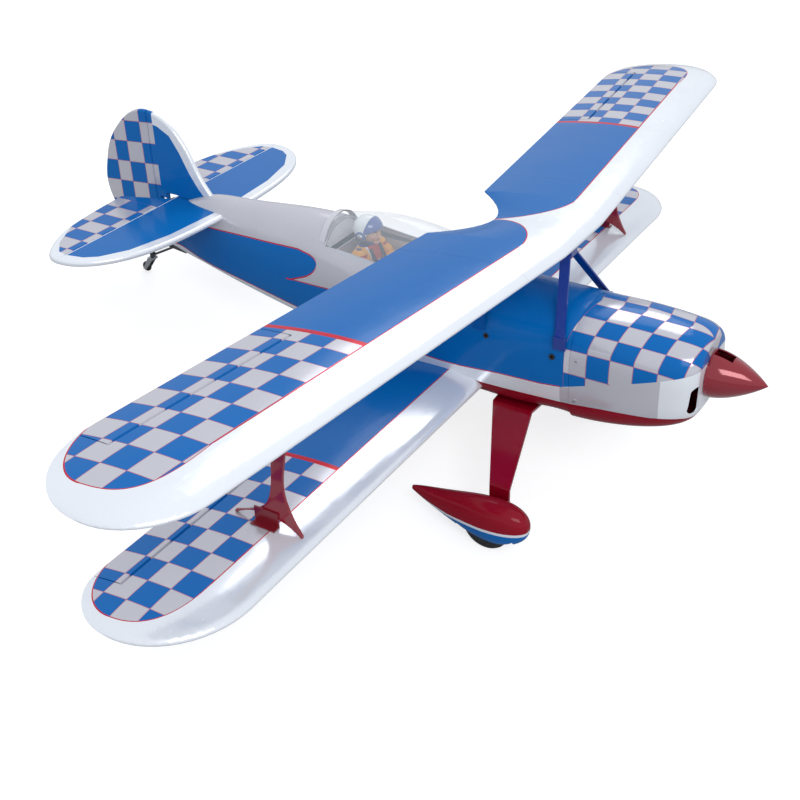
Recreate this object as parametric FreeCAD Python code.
import FreeCAD, Part
import math
import os

from FreeCAD import Vector, Rotation, Placement

# Sport-scale radio-controlled aerobatic biplane, built level and then set on its three wheels.
# Level frame, millimetres: x to port, y towards the tail from the spinner's base, z up from the
# body's datum line.  Left means port (+x), right means starboard (-x).

# ---- driving dimensions ----
UPPER_SPAN = 1604.0
LOWER_SPAN = 1480.0
SPINNER_RADIUS = 34.0
THRUST_Z = -4.0
PANEL_JOINT_X = 151.0
STRUT_X = 500.0
WHEEL_X = 211.0
WHEEL_RADIUS = 36.0
AXLE_Y = 230.0
AXLE_Z = -209.5
TAIL_AXLE_Y = 1034.0
TAIL_AXLE_Z = -84.0
TAIL_WHEEL_RADIUS = 9.0
HATCH_DIRECTION = Vector(0, 0, 1)

# ---- wings ----
UPPER_Z = 149.5
UPPER_ROOT_LE = 198.7
UPPER_LE_FLAT_X = 59.0
UPPER_LE_SLOPE = 0.100
UPPER_ROOT_TE = 389.5
UPPER_TE_SLOPE = 0.108
UPPER_TIP_Y = 355.0
UPPER_LE_TIP_START = 716.0
UPPER_TE_TIP_START = 668.0
SCOOP_HALF_WIDTH = 84.0
SCOOP_FRONT_Y = 337.6
LOWER_Z = -83.0
LOWER_LE = 317.0
LOWER_TE = 515.0
LOWER_TIP_Y = 428.0
LOWER_LE_TIP_START = 620.0
LOWER_TE_TIP_START = 662.0
LOWER_ROOT_X = 50.0
UPPER_THICKNESS = 25.0
LOWER_THICKNESS = 27.0
CAMBER = 0.010
TE_HALF_THICKNESS = 0.8

# ---- control surfaces ----
HINGE_GAP = 0.6
BEVEL_ANGLE = 33.0
END_GAP = 1.6
UPPER_AILERON_X = (424.0, 699.0)
LOWER_AILERON_X = (380.0, 671.0)
UPPER_HINGE_CHORD = 54.0
LOWER_HINGE_Y = 467.0
TAIL_THICKNESS = 9.0
STAB_Z = 64.0
ELEVATOR_HINGE_Y = 936.0
RUDDER_HINGE_Y = 978.0
HORN_LENGTH = 18.0

# ---- body shell ----
SHELL = 2.5
BODY_SECTIONS = (            # y, half width, top, bottom
    (178.0, 77.0, 64.0, -101.0),
    (250.0, 78.0, 65.0, -104.0),
    (340.0, 78.0, 67.0, -104.0),
    (430.0, 76.0, 72.0, -102.0),
    (520.0, 72.0, 83.0, -93.0),
    (600.0, 66.0, 97.0, -77.0),
    (700.0, 54.0, 97.0, -62.0),
    (800.0, 41.0, 90.0, -47.0),
    (880.0, 28.0, 80.0, -34.0),
    (972.0, 9.0, 70.0, -24.0))
COWL_SECTIONS = (
    (177.5, 77.0, 64.0, -105.0),
    (130.0, 77.0, 64.0, -101.0),
    (80.0, 76.0, 63.0, -91.0),
    (45.0, 73.0, 60.5, -80.0),
    (20.0, 67.0, 57.0, -68.0),
    (8.0, 59.0, 51.0, -58.0),
    (3.0, 49.0, 44.0, -48.0))
CANOPY_SECTIONS = (          # y, half width, top
    (345.0, 40.0, 70.0),
    (370.0, 52.0, 90.0),
    (400.0, 57.0, 108.0),
    (440.0, 60.0, 117.0),
    (510.0, 62.0, 121.0),
    (560.0, 62.0, 115.0),
    (614.0, 60.0, 106.5))
WIDEST_Z = 10.0
TOP_POWER = 2.2
BOTTOM_POWER = 4.5

parts = {}
X = Vector(1, 0, 0)
Y = Vector(0, 1, 0)
Z = Vector(0, 0, 1)


# ---- small helpers ----
def box(x0, x1, y0, y1, z0, z1):
    return Part.makeBox(x1 - x0, y1 - y0, z1 - z0, Vector(x0, y0, z0))


def rod(start, end, radius):
    run = end - start
    return Part.makeCylinder(radius, run.Length, start, run)


def tube(start, end, outer, inner):
    return rod(start, end, outer).cut(rod(start, end, inner))


def prism(points, direction):
    outline = Part.makePolygon(points + [points[0]])
    return Part.Face(outline).extrude(direction)


def mirrored(shape):
    return shape.mirror(Vector(0, 0, 0), X)


def joined(shapes):
    whole = shapes[0].fuse(shapes[1:])
    return whole.removeSplitter()


def group(shapes):
    return Part.makeCompound(shapes)


def curve_through(points):
    curve = Part.BSplineCurve()
    curve.interpolate(points)
    return curve.toShape()


def rounded(shape, radius, pick):
    edges = [edge for edge in shape.Edges if pick(edge)]
    return shape.makeFillet(radius, edges) if edges else shape


# ---- wing lofts ----
def airfoil(x, le, te, z, thickness):
    """Closed wire of a semi-symmetrical section at one rib station."""
    chord = te - le
    upper, lower = [], []
    steps = 10
    for i in range(steps + 1):
        t = 0.5 * (1 - math.cos(math.pi * i / steps))
        half = 0.2969 * math.sqrt(t) - 0.1260 * t - 0.3516 * t**2 + 0.2843 * t**3 - 0.1036 * t**4
        half = 5.0 * half * thickness + TE_HALF_THICKNESS * t * min(1, chord / 100)
        camber = 4 * CAMBER * chord * t * (1 - t)
        upper.append(Vector(x, le + chord * t, z + camber + half))
        lower.append(Vector(x, le + chord * t, z + camber - half))
    contour = curve_through(upper[::-1] + lower[1:])
    closing = Part.makeLine(lower[-1], upper[-1])
    return Part.Wire([contour, closing])


def tip_factor(x, start, tip):
    if x <= start:
        return 1.0
    u = (x - start) / (tip - start)
    return math.sqrt(max(0.0, 1 - u * u))


def upper_rib(x):
    tip = UPPER_SPAN / 2
    le = UPPER_ROOT_LE + UPPER_LE_SLOPE * max(0, x - UPPER_LE_FLAT_X)
    te = UPPER_ROOT_TE + UPPER_TE_SLOPE * x
    if x < SCOOP_HALF_WIDTH:
        corner = UPPER_ROOT_TE + UPPER_TE_SLOPE * SCOOP_HALF_WIDTH
        te = SCOOP_FRONT_Y + (corner - SCOOP_FRONT_Y) * (x / SCOOP_HALF_WIDTH) ** 1.8
    le_part = tip_factor(x, UPPER_LE_TIP_START, tip)
    te_part = tip_factor(x, UPPER_TE_TIP_START, tip)
    le = UPPER_TIP_Y - (UPPER_TIP_Y - le) * le_part
    te = UPPER_TIP_Y + (te - UPPER_TIP_Y) * te_part
    return airfoil(x, le, te, UPPER_Z, UPPER_THICKNESS * min(le_part, te_part))


def lower_rib(x):
    tip = LOWER_SPAN / 2
    le_part = tip_factor(x, LOWER_LE_TIP_START, tip)
    te_part = tip_factor(x, LOWER_TE_TIP_START, tip)
    le = LOWER_TIP_Y - (LOWER_TIP_Y - LOWER_LE) * le_part
    te = LOWER_TIP_Y + (LOWER_TE - LOWER_TIP_Y) * te_part
    return airfoil(x, le, te, LOWER_Z, LOWER_THICKNESS * min(le_part, te_part))


def tip_stations(start, tip, count):
    """Stations crowding towards the tip so that the rounded end stays smooth."""
    last = 0.4
    return [start + (tip - last - start) * math.sin(0.5 * math.pi * i / count)
            for i in range(count + 1)]


def wing_loft(rib, stations):
    return Part.makeLoft([rib(x) for x in stations], True, True)


def hinge_prism(start, end, profile):
    """Extrude a (back, up) profile along a hinge line."""
    along = end - start
    back = Vector(-along.y, along.x, 0).normalize()
    if back.y < 0:
        back = back * -1
    points = [start + back * b + Z * h for b, h in profile]
    return prism(points, along)


def split_surface(wing, start, end, reach, half_height):
    """Part a panel at a hinge line into the fixed panel and its bevelled control surface."""
    slope = math.tan(math.radians(BEVEL_ANGLE)) * half_height
    along = (end - start).normalize()
    opening = [(0, -half_height), (0, half_height), (reach, half_height), (reach, -half_height)]
    moving = [(HINGE_GAP, 0), (HINGE_GAP + slope, half_height), (reach, half_height),
              (reach, -half_height), (HINGE_GAP + slope, -half_height)]
    fixed = wing.cut(hinge_prism(start - along * END_GAP, end + along * END_GAP, opening))
    surface = wing.common(hinge_prism(start, end, moving))
    return fixed, surface


def camber_height(chord_part, chord):
    return 4 * CAMBER * chord * chord_part * (1 - chord_part)


def upper_hinge_point(x):
    y = UPPER_ROOT_TE + UPPER_TE_SLOPE * x - UPPER_HINGE_CHORD
    return Vector(x, y, UPPER_Z + camber_height(0.73, 200))


def lower_hinge_point(x):
    return Vector(x, LOWER_HINGE_Y, LOWER_Z + camber_height(0.785, LOWER_TE - LOWER_LE))


def link_base(hinge):
    """Point of the hinge line where the horn stands."""
    return (hinge[0] + hinge[1]) * 0.5


def aligned(shape, hinge):
    """Turn a linkage piece built square so that its shafts lie along the hinge line."""
    run = hinge[1] - hinge[0]
    shape.rotate(link_base(hinge), Z, math.degrees(math.atan2(run.y, run.x)))
    return shape


def aileron_horn(hinge):
    """Plate horn under an aileron with its clevis hole HORN_LENGTH from the hinge."""
    base = link_base(hinge)
    outline = ((5, -1), (24, -1), (4, -HORN_LENGTH - 3), (-4, -HORN_LENGTH - 3), (-4, -14), (5, -10))
    plate = prism([base + Vector(-1, y, z) for y, z in outline], Vector(2, 0, 0))
    hole = rod(base + Vector(-2, 0, -HORN_LENGTH), base + Vector(2, 0, -HORN_LENGTH), 1.05)
    return aligned(plate.cut(hole), hinge)


upper_tip = UPPER_SPAN / 2
upper_stations = [PANEL_JOINT_X + 0.3, UPPER_TE_TIP_START]
upper_stations += tip_stations(UPPER_TE_TIP_START, upper_tip, 14)[1:]
upper_panel = wing_loft(upper_rib, upper_stations)
upper_hinge = (upper_hinge_point(UPPER_AILERON_X[0]), upper_hinge_point(UPPER_AILERON_X[1]))
upper_panel, upper_aileron = split_surface(upper_panel, upper_hinge[0], upper_hinge[1], 120.0, 14.0)

lower_tip = LOWER_SPAN / 2
lower_stations = [LOWER_ROOT_X, LOWER_LE_TIP_START]
lower_stations += tip_stations(LOWER_LE_TIP_START, lower_tip, 14)[1:]
lower_panel = wing_loft(lower_rib, lower_stations)
lower_hinge = (lower_hinge_point(LOWER_AILERON_X[0]), lower_hinge_point(LOWER_AILERON_X[1]))
lower_panel, lower_aileron = split_surface(lower_panel, lower_hinge[0], lower_hinge[1], 120.0, 14.0)

half_stations = [SCOOP_HALF_WIDTH * i / 7 for i in range(8)] + [PANEL_JOINT_X]
half_centre = wing_loft(upper_rib, half_stations)
upper_centre = joined([half_centre, mirrored(half_centre)])

# Joiner tubes slip through the panels at their deepest point.
UPPER_TUBE_Y = 265.0
LOWER_TUBE_Y = 365.0
UPPER_TUBE_Z = UPPER_Z + 1.5
LOWER_TUBE_Z = LOWER_Z + 1.5
TUBE_RADIUS = 8.0
TUBE_BORE = 8.05
upper_tube = tube(Vector(-300, UPPER_TUBE_Y, UPPER_TUBE_Z), Vector(300, UPPER_TUBE_Y, UPPER_TUBE_Z),
                  TUBE_RADIUS, TUBE_RADIUS - 1)
lower_tube = tube(Vector(-300, LOWER_TUBE_Y, LOWER_TUBE_Z), Vector(300, LOWER_TUBE_Y, LOWER_TUBE_Z),
                  TUBE_RADIUS, TUBE_RADIUS - 1)
upper_bore = rod(Vector(-301, UPPER_TUBE_Y, UPPER_TUBE_Z), Vector(301, UPPER_TUBE_Y, UPPER_TUBE_Z),
                 TUBE_BORE)
lower_bore = rod(Vector(-301, LOWER_TUBE_Y, LOWER_TUBE_Z), Vector(301, LOWER_TUBE_Y, LOWER_TUBE_Z),
                 TUBE_BORE)

# Aileron servos lie in pockets in the underside; arm and horn stay parallel and equally long.
SERVO_AHEAD = 88.0


def servo_origin(hinge):
    return link_base(hinge) + Vector(0, -SERVO_AHEAD, 0)


def aileron_servo(hinge):
    """Servo case on its side in the wing, output shaft at the arm."""
    at = servo_origin(hinge)
    case = box(at.x - 24, at.x - 4, at.y - 12, at.y + 28, at.z - 9, at.z + 2)
    boss = rod(at + Vector(-4, 0, 0), at + Vector(-2.2, 0, 0), 5)
    shaft = rod(at + Vector(-2.2, 0, 0), at + Vector(2.2, 0, 0), 2.5)
    return aligned(joined([case, boss, shaft]), hinge)


def servo_bay(hinge):
    at = servo_origin(hinge)
    return aligned(box(at.x - 25, at.x + 8, at.y - 16, at.y + 32, at.z - 30, at.z + 6), hinge)


def servo_arm(hinge):
    at = servo_origin(hinge)
    hub = rod(at + Vector(-1.8, 0, 0), at + Vector(1.8, 0, 0), 4.5)
    blade = box(at.x - 1.2, at.x + 1.2, at.y - 3, at.y + 3, at.z - HORN_LENGTH - 3, at.z)
    shaft_hole = rod(at + Vector(-3, 0, 0), at + Vector(3, 0, 0), 2.55)
    pin_hole = rod(at + Vector(-3, 0, -HORN_LENGTH), at + Vector(3, 0, -HORN_LENGTH), 1.05)
    return aligned(joined([hub, blade]).cut(shaft_hole).cut(pin_hole), hinge)


def aileron_pushrod(hinge):
    """Rod with a bent pin at each end, beside the arm and the horn."""
    front = servo_origin(hinge) + Vector(0, 0, -HORN_LENGTH)
    back = link_base(hinge) + Vector(0, 0, -HORN_LENGTH)
    side = Vector(3.4, 0, 0)
    inner = Vector(-1.9, 0, 0)
    shank = rod(front + side, back + side, 1.2)
    pins = [rod(end + inner, end + side, 1.0) for end in (front, back)]
    knees = [Part.makeSphere(1.2, end + side) for end in (front, back)]
    return aligned(joined([shank] + pins + knees), hinge)


def add_wing_pair(name, panel, aileron, hinge, bore):
    panel = panel.cut(bore).cut(servo_bay(hinge))
    horn = aileron_horn(hinge)
    surface = group([aileron, horn.cut(aileron)])
    for side, flip in (("left", False), ("right", True)):
        made = {
            "%s_wing_%s" % (name, side): panel,
            "%s_aileron_%s" % (name, side): surface,
            "%s_servo_arm_%s" % (name, side): servo_arm(hinge),
            "%s_pushrod_%s" % (name, side): aileron_pushrod(hinge)}
        for node, shape in made.items():
            parts[node] = mirrored(shape) if flip else shape


parts["upper_wing_centre"] = upper_centre.cut(upper_bore)
add_wing_pair("upper", upper_panel, upper_aileron, upper_hinge, upper_bore)
parts["wing_joiner_tubes"] = group([upper_tube, lower_tube])
wing_servos = [aileron_servo(upper_hinge), aileron_servo(lower_hinge)]


# ---- body shell, cowl and canopy ----
def body_wire(y, half_width, top, bottom, inset, power_top, power_bottom):
    points = []
    steps = 28
    for i in range(steps):
        angle = 2 * math.pi * (i + 0.5) / steps
        c, s = math.cos(angle), math.sin(angle)
        power = power_top if s > 0 else power_bottom
        height = (top - inset - WIDEST_Z) if s > 0 else (WIDEST_Z - bottom - inset)
        x = (half_width - inset) * math.copysign(abs(c) ** (2 / power), c)
        z = WIDEST_Z + height * math.copysign(abs(s) ** (2 / power), s)
        points.append(Vector(x, y, z))
    curve = Part.BSplineCurve()
    curve.interpolate(points, PeriodicFlag=True)
    return Part.Wire([curve.toShape()])


def body_loft(sections, inset=0.0, power_bottom=BOTTOM_POWER):
    wires = [body_wire(y, w, top, low, inset, TOP_POWER, power_bottom)
             for y, w, top, low in sections]
    return Part.makeLoft(wires, True, False)


def canopy_loft(inset):
    sections = [(y, w, top, WIDEST_Z - 30) for y, w, top in CANOPY_SECTIONS]
    return body_loft(sections, inset, 2.2)


def stretched(sections, first, last):
    """Inner sections pushed past both ends so that a cut leaves the ends open."""
    ends = [(sections[0][0] + first,) + sections[0][1:]]
    ends += list(sections[1:-1])
    ends.append((sections[-1][0] + last,) + sections[-1][1:])
    return ends


body_outer = body_loft(BODY_SECTIONS)
add_wing_pair("lower", lower_panel.cut(body_outer), lower_aileron, lower_hinge, lower_bore)
body_inner = body_loft(stretched(BODY_SECTIONS, -1.0, -10.0), SHELL)
hatch_opening = box(-50, 50, 362, 600, 20, 140)
tail_cutaway = box(-60, 60, 930, 1000, 55, 120)
fuselage = body_outer.cut(body_inner).cut(hatch_opening).cut(tail_cutaway)

STAB_OUTLINE = ((0, 817), (37, 818.5), (127, 825), (200, 843), (250, 874), (273, 906),
                (279, ELEVATOR_HINGE_Y))
ELEVATOR_OUTLINE = ((279, ELEVATOR_HINGE_Y + 0.5), (275, 955), (250, 979), (203, 1003),
                    (151, 1015), (99, 1021), (47, 1025))
FIN_OUTLINE = ((846, 69.5), (866, 92), (882, 116), (898, 148), (915, 174), (935, 194),
               (958, 206), (RUDDER_HINGE_Y, 210))
RUDDER_OUTLINE = ((RUDDER_HINGE_Y + 0.5, 210), (1000, 209), (1022, 199), (1047, 178), (1074, 143),
                  (1088, 105), (1094, 76), (1086, 36), (1062, 2), (1036, -17))


def flat_plate(edges, thickness, normal):
    face = Part.Face(Part.Wire(edges))
    face.translate(normal * (-thickness / 2))
    return face.extrude(normal * thickness)


def soften(shape, radius, normal):
    """Round the long outer edges of a flat tail surface."""
    def on_rim(edge):
        middle = edge.valueAt((edge.FirstParameter + edge.LastParameter) / 2)
        flat = abs(abs((middle - shape.BoundBox.Center).dot(normal)) - TAIL_THICKNESS / 2) < 0.01
        return flat and edge.Curve.TypeId == "Part::GeomBSplineCurve"
    return rounded(shape, radius, on_rim)


def stab_half_edges(side):
    points = [Vector(side * x, y, STAB_Z) for x, y in STAB_OUTLINE]
    return curve_through(points), points


port_edge, port_points = stab_half_edges(1)
starboard_edge, starboard_points = stab_half_edges(-1)
stab_back = Part.makeLine(port_points[-1], starboard_points[-1])
stabiliser = flat_plate([port_edge, stab_back, starboard_edge], TAIL_THICKNESS, Z)
stabiliser = soften(stabiliser, 4.0, Z)


def elevator_half():
    points = [Vector(x, y, STAB_Z) for x, y in ELEVATOR_OUTLINE]
    inner_front = Vector(14, ELEVATOR_HINGE_Y + 0.5, STAB_Z)
    edges = [curve_through(points), Part.makeLine(points[-1], inner_front),
             Part.makeLine(inner_front, points[0])]
    plate = soften(flat_plate(edges, TAIL_THICKNESS, Z), 4.0, Z)
    rise = TAIL_THICKNESS
    slope = math.tan(math.radians(BEVEL_ANGLE)) * rise
    keep = prism([Vector(0, ELEVATOR_HINGE_Y + HINGE_GAP, STAB_Z),
                  Vector(0, ELEVATOR_HINGE_Y + HINGE_GAP + slope, STAB_Z + rise),
                  Vector(0, 1100, STAB_Z + rise), Vector(0, 1100, STAB_Z - rise),
                  Vector(0, ELEVATOR_HINGE_Y + HINGE_GAP + slope, STAB_Z - rise)],
                 Vector(300, 0, 0))
    return plate.common(keep)


elevator = elevator_half()
joiner_at = Vector(0, ELEVATOR_HINGE_Y + 8, STAB_Z)
elevator_joiner = rod(joiner_at - X * 40, joiner_at + X * 40, 2.0)
joiner_bore = rod(joiner_at - X * 40.5, joiner_at + X * 40.5, 2.05)
fin_points = [Vector(0, y, z) for y, z in FIN_OUTLINE]
fin_foot = [fin_points[-1], Vector(0, RUDDER_HINGE_Y, 55.5), Vector(0, 958, 55.5),
            Vector(0, 958, 72), Vector(0, 930, 72), Vector(0, 930, 69.5), fin_points[0]]
fin_edges = [curve_through(fin_points)]
fin_edges += [Part.makeLine(a, b) for a, b in zip(fin_foot, fin_foot[1:])]
fin = soften(flat_plate(fin_edges, TAIL_THICKNESS, X), 4.0, X)

rudder_points = [Vector(0, y, z) for y, z in RUDDER_OUTLINE]
rudder_foot = [rudder_points[-1], Vector(0, RUDDER_HINGE_Y + 0.5, -20), rudder_points[0]]
rudder_edges = [curve_through(rudder_points)]
rudder_edges += [Part.makeLine(a, b) for a, b in zip(rudder_foot, rudder_foot[1:])]
rudder = soften(flat_plate(rudder_edges, TAIL_THICKNESS, X), 4.0, X)
rudder_rise = TAIL_THICKNESS
rudder_slope = math.tan(math.radians(BEVEL_ANGLE)) * rudder_rise
rudder_keep = prism([Vector(0, RUDDER_HINGE_Y + HINGE_GAP, -60),
                     Vector(rudder_rise, RUDDER_HINGE_Y + HINGE_GAP + rudder_slope, -60),
                     Vector(rudder_rise, 1150, -60), Vector(-rudder_rise, 1150, -60),
                     Vector(-rudder_rise, RUDDER_HINGE_Y + HINGE_GAP + rudder_slope, -60)],
                    Vector(0, 0, 300))
rudder = rudder.common(rudder_keep)
parts["fin"] = fin.cut(body_outer)
parts["rudder"] = rudder
parts["elevator_left"] = elevator.cut(joiner_bore)
parts["elevator_right"] = mirrored(elevator).cut(joiner_bore)
parts["elevator_joiner"] = elevator_joiner
parts["stabiliser"] = stabiliser
fuselage = fuselage.cut(stabiliser)

# Lower wing seat: the joiner tube crosses the body, with grommets in the sides ahead of it.
fuselage = fuselage.cut(lower_bore)
GROMMETS = ((204.0, 3.0), (307.0, 9.0))
grommets = []
for y, z in GROMMETS:
    hole = rod(Vector(-90, y, z), Vector(90, y, z), 4.5)
    fuselage = fuselage.cut(hole)
    for side in (-1, 1):
        start = Vector(side * 73, y, z)
        end = Vector(side * 79.5, y, z)
        grommets.append(tube(start, end, 4.45, 2.2))
parts["side_grommets"] = group(grommets)
parts["fuselage_shell"] = fuselage

cowl = body_loft(COWL_SECTIONS).cut(body_loft(stretched(COWL_SECTIONS, 1.0, 1.8), 1.8))
cowl = cowl.cut(rod(Vector(0, -5, THRUST_Z), Vector(0, 12, THRUST_Z), SPINNER_RADIUS - 2))
INTAKE_X = 53.0
for side in (-1, 1):
    low = Vector(side * INTAKE_X, -5, -34)
    high = Vector(side * INTAKE_X, -5, -8)
    slot = joined([Part.makeCylinder(8, 50, low, Y), Part.makeCylinder(8, 50, high, Y),
                   box(side * INTAKE_X - 8, side * INTAKE_X + 8, -5, 45, -34, -8)])
    cowl = cowl.cut(slot)
cowl = cowl.cut(box(-26, 26, 138, 180, -110, -80))
SCREW_POINTS = ((60.0, 40.0), (76.5, 5.0), (75.5, -60.0))
screws = []
for x, z in SCREW_POINTS:
    for side in (-1, 1):
        inner = Vector(side * (x - 8), 168, z)
        outer = Vector(side * (x + 2.2), 168, z)
        screws.append(rod(inner, outer, 1.6))
cowl = cowl.cut(group(screws))
parts["engine_cowl"] = cowl

# ---- inside the nose ----
firewall_slab = box(-100, 100, 181, 186, -120, 90)
firewall = body_loft(BODY_SECTIONS, SHELL + 0.3).common(firewall_slab)
STANDOFFS = [Vector(x, 0, THRUST_Z + z) for x in (-22, 22) for z in (-22, 22)]
for at in STANDOFFS:
    firewall = firewall.cut(rod(at + Y * 170, at + Y * 200, 2.6))
parts["firewall"] = group([firewall] + [rod(at + Y * 96, at + Y * 181, 6) for at in STANDOFFS])
former_slabs = [box(-100, 100, y, y + 3, -120, 130) for y in (345, 605, 790)]
solid_inner = body_loft(BODY_SECTIONS, SHELL + 0.3)
former_windows = [box(-48, 48, 340, 350, -55, 130), box(-45, 45, 600, 610, -38, 60),
                  box(-22, 22, 785, 795, -22, 50)]
formers = [solid_inner.common(slab).cut(window).cut(lower_bore)
           for slab, window in zip(former_slabs, former_windows)]
tray = solid_inner.common(box(-68, 68, 392, 520, -64, -61))
parts["fuselage_formers"] = group(formers + [tray])

crankcase = joined([rod(Vector(0, 45, 0), Vector(0, 92, 0), 25), box(-28, 28, 88, 96, -28, 28),
                    rod(Vector(0, 14, 0), Vector(0, 46, 0), 13),
                    box(-18, 18, 50, 88, -30, 0)])
SHAFT_RADIUS = 5.0
crankcase = crankcase.cut(rod(Vector(0, 10, 0), Vector(0, 80, 0), SHAFT_RADIUS + 0.05))
parts["engine_crankcase"] = crankcase
barrel = rod(Vector(0, 69, -30), Vector(0, 69, -72), 16)
fins = [rod(Vector(0, 69, -34 - 5 * i), Vector(0, 69, -36 - 5 * i), 23) for i in range(8)]
plug = rod(Vector(0, 69, -72), Vector(0, 69, -80), 4)
parts["engine_cylinder"] = joined([barrel] + fins + [plug])
port = rod(Vector(22, 69, -50), Vector(36, 69, -50), 8)
can = rod(Vector(46, 44, -50), Vector(46, 118, -50), 15)
pipe = tube(Vector(46, 118, -50), Vector(46, 150, -50), 5, 4)
parts["muffler"] = joined([port, can]).cut(rod(Vector(0, 69, -30), Vector(0, 69, -76), 23.1))
parts["muffler"] = joined([parts["muffler"], pipe])
tank = rounded(box(-30, 30, 200, 310, -28, 26), 8, lambda edge: True)
parts["fuel_tank"] = tank
parts["battery_pack"] = rounded(box(-24, 24, 200, 292, -92, -62), 3, lambda edge: True)
parts["receiver"] = rounded(box(-20, 20, 400, 448, -60, -44), 2, lambda edge: True)
tail_servos = []
for x in (-26, 26):
    case = box(x - 10, x + 10, 462, 502, -61, -24)
    spline = rod(Vector(x, 492, -24), Vector(x, 492, -18), 3)
    tail_servos.append(joined([case, spline]))
parts["servos"] = group(tail_servos + wing_servos + [mirrored(servo) for servo in wing_servos])

# Spinner, backplate and drive shaft turn together.
OGIVE_LENGTH = 75.0
spinner_points = []
for i in range(11):
    t = i / 10
    radius = SPINNER_RADIUS * (1 - t ** 1.65) ** 0.94
    spinner_points.append(Vector(radius, -OGIVE_LENGTH * t, 0))
ogive = Part.Wire([curve_through(spinner_points), Part.makeLine(spinner_points[-1], Vector(0, 0, 0)),
                   Part.makeLine(Vector(0, 0, 0), spinner_points[0])])
spinner_solid = Part.Face(ogive).revolve(Vector(0, 0, 0), Y, 360)
hollow = spinner_solid.copy()
hollow.scale(0.95, Vector(0, 3, 0))
spinner_cone = spinner_solid.cut(hollow).cut(box(-9, 9, -26, 2, 12, 60)).cut(box(-9, 9, -26, 2, -60, -12))
parts["spinner_cone"] = spinner_cone
backplate = rod(Vector(0, 0, 0), Vector(0, 2.6, 0), SPINNER_RADIUS)
backplate = backplate.cut(rod(Vector(0, -1, 0), Vector(0, 4, 0), SHAFT_RADIUS + 0.02))
parts["spinner_backplate"] = backplate
shaft = joined([rod(Vector(0, -34, 0), Vector(0, 78, 0), SHAFT_RADIUS),
                rod(Vector(0, 2.6, 0), Vector(0, 12, 0), 12),
                rod(Vector(0, -14, 0), Vector(0, -7, 0), 9)])
parts["drive_shaft"] = shaft
for node in ("engine_crankcase", "engine_cylinder", "muffler", "spinner_cone", "spinner_backplate",
             "drive_shaft"):
    parts[node].translate(Z * THRUST_Z)

# ---- hatch: canopy, frame, tub, panel and pilot lift away together ----
clear_body = body_loft(BODY_SECTIONS, -0.5)
canopy_outer = canopy_loft(0.0)
glass = canopy_outer.cut(canopy_loft(1.4)).cut(clear_body)
solids = sorted(glass.Solids, key=lambda solid: solid.Volume)
parts["canopy_glass"] = solids[-1]
flange_body = body_loft(BODY_SECTIONS, -2.5)
ring = flange_body.cut(clear_body).common(canopy_loft(1.5)).cut(box(-46, 46, 366, 596, -50, 150))
ring = ring.common(box(-90, 90, 340, 620, 30, 150))
ring_solids = sorted(ring.Solids, key=lambda solid: solid.Volume)
tub_outer = box(-45.9, 45.9, 366.1, 595.9, 28, 58)
tub = tub_outer.cut(box(-43.5, 43.5, 368.5, 593.5, 30.4, 70))
parts["hatch_frame"] = group([ring_solids[-1], tub])
panel_points = [Vector(-43.4, 400, 30.4), Vector(-43.4, 403, 30.4), Vector(-43.4, 396, 74),
                Vector(-43.4, 393, 74)]
parts["instrument_panel"] = prism(panel_points, Vector(86.8, 0, 0)).common(
    canopy_loft(2.5).fuse(box(-43.4, 43.4, 390, 410, 30, 50)))
torso = Part.makeSphere(30, Vector(0, 0, 0))
torso_matrix = FreeCAD.Matrix()
torso_matrix.scale(1.1, 0.62, 1.25)
torso = torso.transformGeometry(torso_matrix)
torso.translate(Vector(0, 556, 33))
torso = torso.common(box(-60, 60, 500, 600, 30.4, 120))
neck = rod(Vector(0, 555, 62), Vector(0, 555, 80), 8)
head = Part.makeSphere(17, Vector(0, 0, 0))
head_matrix = FreeCAD.Matrix()
head_matrix.scale(0.92, 1.08, 1.12)
head = head.transformGeometry(head_matrix)
head.translate(Vector(0, 553, 87))
parts["pilot_bust"] = joined([torso, neck, head])


# ---- struts ----
STRUT_SIDES = (             # y, z along the front, top, back and arch of the plate
    ((331, -69.5), (345, -44), (354, -10), (350, 28), (339, 80), (322, 116), (300, 134)),
    ((300, 138), (345, 130), (385, 142)),
    ((385, 137.6), (373, 110), (367, 60), (369, 14), (373, -14), (383, -38), (404, -54), (433, -66)),
    ((433, -69.8), (384, -53), (331, -72.8)))


def interplane_strut():
    """I-shaped flat plate between the wings with flared, arched feet and blunt toes."""
    thick = 4.0
    x = STRUT_X - thick / 2
    sides = [[Vector(x, y, z) for y, z in side] for side in STRUT_SIDES]
    edges = []
    for side, following in zip(sides, sides[1:] + sides[:1]):
        edges.append(curve_through(side))
        edges.append(Part.makeLine(side[-1], following[0]))
    return Part.Face(Part.Wire(edges)).extrude(Vector(thick, 0, 0))


def strut_bracket(y, z, up):
    """Angle bracket screwed to a wing skin, with its ear beside the strut plate."""
    inner = STRUT_X + 2.1
    base_z = (z - 2, z) if up > 0 else (z, z + 2)
    ear_z = (z - 2, z + 20) if up > 0 else (z - 20, z + 2)
    base = box(inner, inner + 12, y - 18, y + 18, base_z[0], base_z[1])
    ear = box(inner, inner + 2, y - 18, y + 18, ear_z[0], ear_z[1])
    return joined([base, ear])


strut = interplane_strut()
brackets = [strut_bracket(382, -65.9, 1).cut(parts["lower_wing_left"]), strut_bracket(345, 136.4, -1)]
parts["interplane_strut_left"] = strut
parts["interplane_strut_right"] = mirrored(strut)
parts["strut_brackets"] = group(brackets + [mirrored(bracket) for bracket in brackets])


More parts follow.
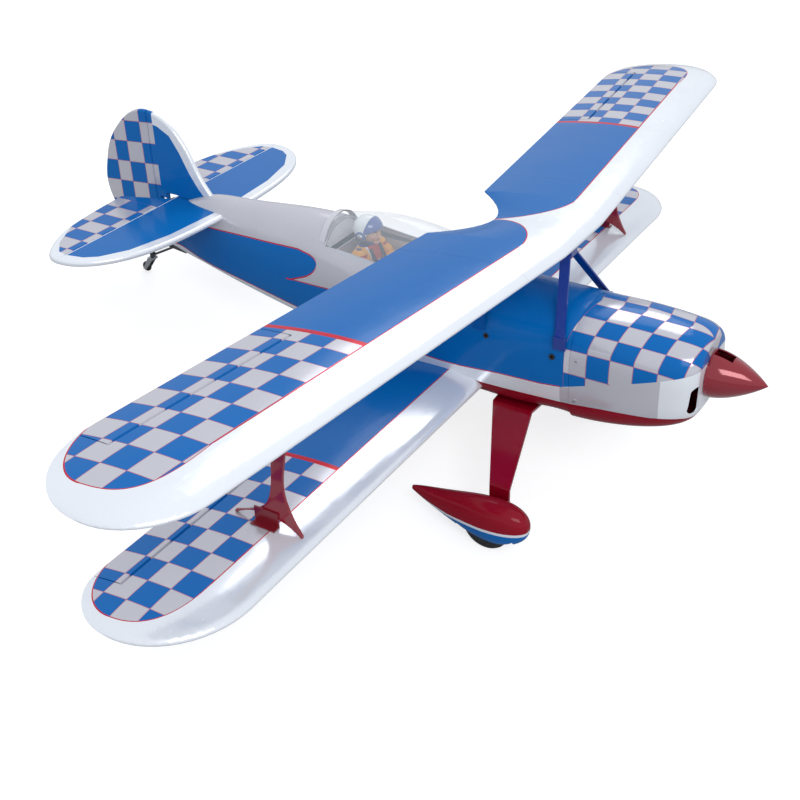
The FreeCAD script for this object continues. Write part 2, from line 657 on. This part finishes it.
def cabane_leg(foot, top, width):
    """Flat streamlined leg with a flared foot that lies against the body side."""
    half = width / 2
    leg = prism([foot + Vector(0, -half, 0), foot + Vector(0, half, 0),
                 top + Vector(0, half, 0), top + Vector(0, -half, 0)], Vector(3.5, 0, 0))
    toe = box(foot.x, foot.x + 3.5, foot.y - half - 2, foot.y + half + 2, foot.z - 16, foot.z + 3)
    return joined([leg, toe])


def cabane_vee(foot_y, top_y, top_z, width):
    foot = Vector(77.6, foot_y, 34)
    top = Vector(6.0, top_y, top_z)
    leg = cabane_leg(foot, top, width)
    leg = leg.cut(body_outer).cut(parts["upper_wing_centre"])
    cap = box(-9.4, 9.4, top_y - width / 2 - 2, top_y + width / 2 + 2, top_z - 6, top_z + 26)
    cap = cap.cut(parts["upper_wing_centre"])
    cap = sorted(cap.Solids, key=lambda solid: solid.BoundBox.ZMin)[0]
    leg = leg.cut(cap)
    return sorted(leg.Solids, key=lambda solid: solid.Volume)[-1], cap


front_leg, front_cap = cabane_vee(193.0, 222.0, 128.0, 14.5)
rear_leg, rear_cap = cabane_vee(318.0, 318.0, 128.0, 14.5)
parts["cabane_front"] = group([front_leg, mirrored(front_leg), front_cap])
parts["cabane_rear"] = group([rear_leg, mirrored(rear_leg), rear_cap])


# ---- main gear ----
GEAR_Z = -104.6
LEG_THICKNESS = 4.0
LEG_TOP = (66.0, 237.0, 301.0)
LEG_FOOT = (182.0, 213.0, 244.0)


def gear_side():
    top_x, top_front, top_back = LEG_TOP
    foot_x, foot_front, foot_back = LEG_FOOT
    down = Vector(0, 0, -LEG_THICKNESS)
    corners = [Vector(top_x, top_front, GEAR_Z), Vector(top_x, top_back, GEAR_Z),
               Vector(foot_x, foot_back, -166), Vector(foot_x, foot_front, -166)]
    ruled = Part.makeRuledSurface(Part.makeLine(corners[0], corners[3]),
                                  Part.makeLine(corners[1], corners[2]))
    slope = ruled.extrude(Vector(-1.6, 0, -LEG_THICKNESS))
    slope = slope if slope.ShapeType == "Solid" else slope.Solids[0]
    tab = box(foot_x - LEG_THICKNESS, foot_x, foot_front, foot_back, AXLE_Z - 14, -164)
    strap = prism([Vector(0, top_front - 5, GEAR_Z), Vector(0, top_back + 5, GEAR_Z),
                   Vector(top_x, top_back, GEAR_Z), Vector(top_x, top_front, GEAR_Z)], down)
    return joined([slope, tab, strap])


leg = gear_side()
axle_start = Vector(LEG_FOOT[0] - 8, AXLE_Y, AXLE_Z)
AXLE_RADIUS = 2.5
leg = leg.cut(rod(axle_start, axle_start + X * 30, AXLE_RADIUS + 0.02))
gear = joined([leg, mirrored(leg)]).cut(body_outer)
gear = sorted(gear.Solids, key=lambda solid: solid.Volume)[-1]
gear_bolts = [Vector(x, y, GEAR_Z) for x in (-30, 30) for y in (250, 288)]
for at in gear_bolts:
    gear = gear.cut(rod(at - Z * 8, at + Z * 4, 2.05)).cut(rod(at - Z * 8, at - Z * 1.5, 3.65))
    parts["fuselage_shell"] = parts["fuselage_shell"].cut(rod(at - Z * 4, at + Z * 8, 2.05))
parts["main_gear"] = gear
gear_bolts = [joined([rod(at - Z * 4, at + Z * 5, 2.0), rod(at - Z * 3.8, at - Z * 1.6, 3.6)])
              for at in gear_bolts]
parts["body_screws"] = group(screws + gear_bolts)

PANT_SECTIONS = (            # y, half width, half height, centre z
    (166.5, 4.0, 6.0, -195.0),
    (171.0, 12.0, 16.5, -195.5),
    (184.0, 19.5, 26.5, -196.5),
    (206.0, 24.0, 33.0, -198.0),
    (232.0, 24.0, 33.5, -198.5),
    (265.0, 20.0, 28.0, -197.5),
    (300.0, 14.0, 19.0, -195.0),
    (335.0, 7.0, 9.5, -191.0),
    (353.0, 2.5, 3.5, -189.0))


def pant_loft(inset):
    wires = []
    for y, w, h, z in PANT_SECTIONS:
        points = []
        for i in range(16):
            angle = 2 * math.pi * (i + 0.5) / 16
            c, s = math.cos(angle), math.sin(angle)
            across = max(1.0, w - inset) * math.copysign(abs(c) ** 0.85, c)
            up = max(1.5, h - inset) * math.copysign(abs(s) ** 0.9, s)
            points.append(Vector(WHEEL_X + across, y, z + up))
        curve = Part.BSplineCurve()
        curve.interpolate(points, PeriodicFlag=True)
        wires.append(Part.Wire([curve.toShape()]))
    return Part.makeLoft(wires, True, False)


pant = pant_loft(0).cut(pant_loft(1.6).common(box(150, 260, 168, 346, -260, -120)))
pant = pant.cut(box(WHEEL_X - 16, WHEEL_X + 16, 184, 276, -260, -206))
axle_line = (axle_start, axle_start + X * 40)
pant = pant.cut(rod(axle_line[0], axle_line[1], AXLE_RADIUS + 0.02))
pant = sorted(pant.Solids, key=lambda solid: solid.Volume)[-1]
parts["wheel_pant_left"] = pant
parts["wheel_pant_right"] = mirrored(pant)
axle_head = rod(axle_start, axle_start + X * 3.8, 4.5)
axle = joined([rod(axle_start, Vector(WHEEL_X + 17, AXLE_Y, AXLE_Z), AXLE_RADIUS), axle_head])
COLLAR_RADIUS = 4.2
collar = tube(Vector(WHEEL_X + 12.4, AXLE_Y, AXLE_Z), Vector(WHEEL_X + 16, AXLE_Y, AXLE_Z),
              COLLAR_RADIUS, AXLE_RADIUS + 0.02)
inner_collar = tube(Vector(WHEEL_X - 16, AXLE_Y, AXLE_Z), Vector(WHEEL_X - 12.4, AXLE_Y, AXLE_Z),
                    COLLAR_RADIUS, AXLE_RADIUS + 0.02)
side_axle = [axle, collar, inner_collar]
parts["wheel_axles"] = group(side_axle + [mirrored(piece) for piece in side_axle])


def wheel_tyre(centre, radius, width, rim):
    """Rounded tyre about x with its bore at the rim radius."""
    half = width / 2
    ring = Part.makeTorus(radius - half, half, centre, X)
    core = tube(centre - X * half * 0.72, centre + X * half * 0.72, radius - half * 0.45, rim)
    tyre = ring.fuse(core).cut(rod(centre - X * 40, centre + X * 40, rim))
    return tyre.removeSplitter()


def wheel_hub(centre, rim, width, bore):
    half = width / 2
    barrel = tube(centre - X * half, centre + X * half, rim - 0.02, rim - 3)
    disc = tube(centre - X * 2, centre + X * 2, rim - 1, bore)
    boss = tube(centre - X * (half + 1), centre + X * (half + 1), 6, bore)
    hub = joined([barrel, disc, boss])
    return hub.cut(rod(centre - X * 40, centre + X * 40, bore))


wheel_centre = Vector(WHEEL_X, AXLE_Y, AXLE_Z)
RIM_RADIUS = 21.0
tyre = wheel_tyre(wheel_centre, WHEEL_RADIUS, 24.0, RIM_RADIUS)
hub = wheel_hub(wheel_centre, RIM_RADIUS, 20.0, AXLE_RADIUS + 0.05)
parts["tyre_left"] = tyre
parts["tyre_right"] = mirrored(tyre)
parts["hub_left"] = hub
parts["hub_right"] = mirrored(hub)

# ---- tail wheel ----
STEER_Y = 1016.0
plate = prism([Vector(-6, 930, -34.0), Vector(-6, 968, -29.5), Vector(-6, 968, -24.0),
               Vector(-6, 930, -26.0)], Vector(12, 0, 0)).cut(body_outer)
leaf = prism([Vector(-4, 960, -31.5), Vector(-4, 962, -28.7), Vector(-4, STEER_Y - 3, -55.0),
              Vector(-4, STEER_Y - 3, -58.5)], Vector(8, 0, 0)).cut(body_outer)
bush = rod(Vector(0, STEER_Y, -61), Vector(0, STEER_Y, -50), 5)
bracket = joined([plate, leaf, bush]).cut(rod(Vector(0, STEER_Y, -70), Vector(0, STEER_Y, -40), 1.8))
parts["tail_wheel_bracket"] = sorted(bracket.Solids, key=lambda solid: solid.Volume)[-1]
stem = rod(Vector(0, STEER_Y, -66), Vector(0, STEER_Y, -45), 1.74)
cap = rod(Vector(0, STEER_Y, -49.6), Vector(0, STEER_Y, -46), 4)
crown = box(-7, 7, STEER_Y - 4, STEER_Y + 7, -66, -61.6)
cheeks = []
for side in (-1, 1):
    x = 5.0 if side > 0 else -7.0
    cheeks.append(prism([Vector(x, STEER_Y - 4, -63), Vector(x, STEER_Y + 7, -63),
                         Vector(x, TAIL_AXLE_Y + 4, TAIL_AXLE_Z - 3),
                         Vector(x, TAIL_AXLE_Y - 4, TAIL_AXLE_Z - 3)], Vector(2, 0, 0)))
pin = rod(Vector(-7.6, TAIL_AXLE_Y, TAIL_AXLE_Z), Vector(7.6, TAIL_AXLE_Y, TAIL_AXLE_Z), 1.5)
steer_arm = box(-16, 16, STEER_Y - 2.5, STEER_Y + 2.5, -48.5, -46.5)
parts["tail_wheel_fork"] = joined([stem, cap, crown, pin, steer_arm] + cheeks)
tail_centre = Vector(0, TAIL_AXLE_Y, TAIL_AXLE_Z)
tail_tyre = Part.makeTorus(TAIL_WHEEL_RADIUS - 3.6, 3.6, tail_centre, X)
tail_tyre = tail_tyre.fuse(rod(tail_centre - X * 3, tail_centre + X * 3, TAIL_WHEEL_RADIUS - 2))
tail_tyre = tail_tyre.removeSplitter().cut(rod(tail_centre - X * 9, tail_centre + X * 9, 1.55))
parts["tail_wheel"] = tail_tyre

# ---- set the model on its wheels ----
centre_gap = math.hypot(TAIL_AXLE_Y - AXLE_Y, TAIL_AXLE_Z - AXLE_Z)
axle_slope = math.atan2(TAIL_AXLE_Z - AXLE_Z, TAIL_AXLE_Y - AXLE_Y)
stance = axle_slope + math.asin((WHEEL_RADIUS - TAIL_WHEEL_RADIUS) / centre_gap)
tilt = Placement(Vector(0, 0, 0), Rotation(X, -math.degrees(stance)))
for node in parts:
    parts[node] = parts[node].transformShape(tilt.toMatrix(), True)
bounds = FreeCAD.BoundBox()
for shape in parts.values():
    bounds.add(shape.optimalBoundingBox(False))
shift = Vector(0, -bounds.Center.y, -bounds.ZMin)

os.makedirs("parts", exist_ok=True)
for node, shape in parts.items():
    shape = shape.translated(shift)
    shape.exportStep("parts/%s.step" % node)


def placed(point):
    return tilt.multVec(point) + shift


def arm_centre(hinge):
    """Where the servo shaft stands once the linkage is turned to the hinge line."""
    run = (hinge[1] - hinge[0]).normalize()
    return link_base(hinge) + Vector(run.y, -run.x, 0) * SERVO_AHEAD


def turned(direction):
    return tilt.Rotation.multVec(direction)


landmarks = {
    "stance_deg": math.degrees(stance),
    "shift": tuple(shift),
    "upper_hinge_inner": tuple(placed(upper_hinge[0])),
    "upper_hinge_outer": tuple(placed(upper_hinge[1])),
    "lower_hinge_inner": tuple(placed(lower_hinge[0])),
    "lower_hinge_outer": tuple(placed(lower_hinge[1])),
    "upper_servo": tuple(placed(arm_centre(upper_hinge))),
    "lower_servo": tuple(placed(arm_centre(lower_hinge))),
    "upper_horn": tuple(placed(link_base(upper_hinge) - Z * HORN_LENGTH)),
    "lower_horn": tuple(placed(link_base(lower_hinge) - Z * HORN_LENGTH)),
    "elevator_hinge": tuple(placed(Vector(0, ELEVATOR_HINGE_Y, STAB_Z))),
    "rudder_hinge": tuple(placed(Vector(0, RUDDER_HINGE_Y, 100))),
    "thrust": tuple(placed(Vector(0, 0, THRUST_Z))),
    "main_axle": tuple(placed(wheel_centre)),
    "tail_axle": tuple(placed(tail_centre)),
    "steer": tuple(placed(Vector(0, STEER_Y, -55))),
    "up": tuple(turned(Z)),
    "aft": tuple(turned(Y)),
    "hatch_direction": tuple(turned(HATCH_DIRECTION / HATCH_DIRECTION.Length)),
    "belly": tuple(placed(Vector(0, 268, GEAR_Z - LEG_THICKNESS)))}
for name, value in landmarks.items():
    print(name, value)
for node, shape in parts.items():
    print(node, len(shape.Solids), round(shape.Volume), shape.isValid())
print("nodes", len(parts), "size", bounds.XLength, bounds.YLength, bounds.ZLength)
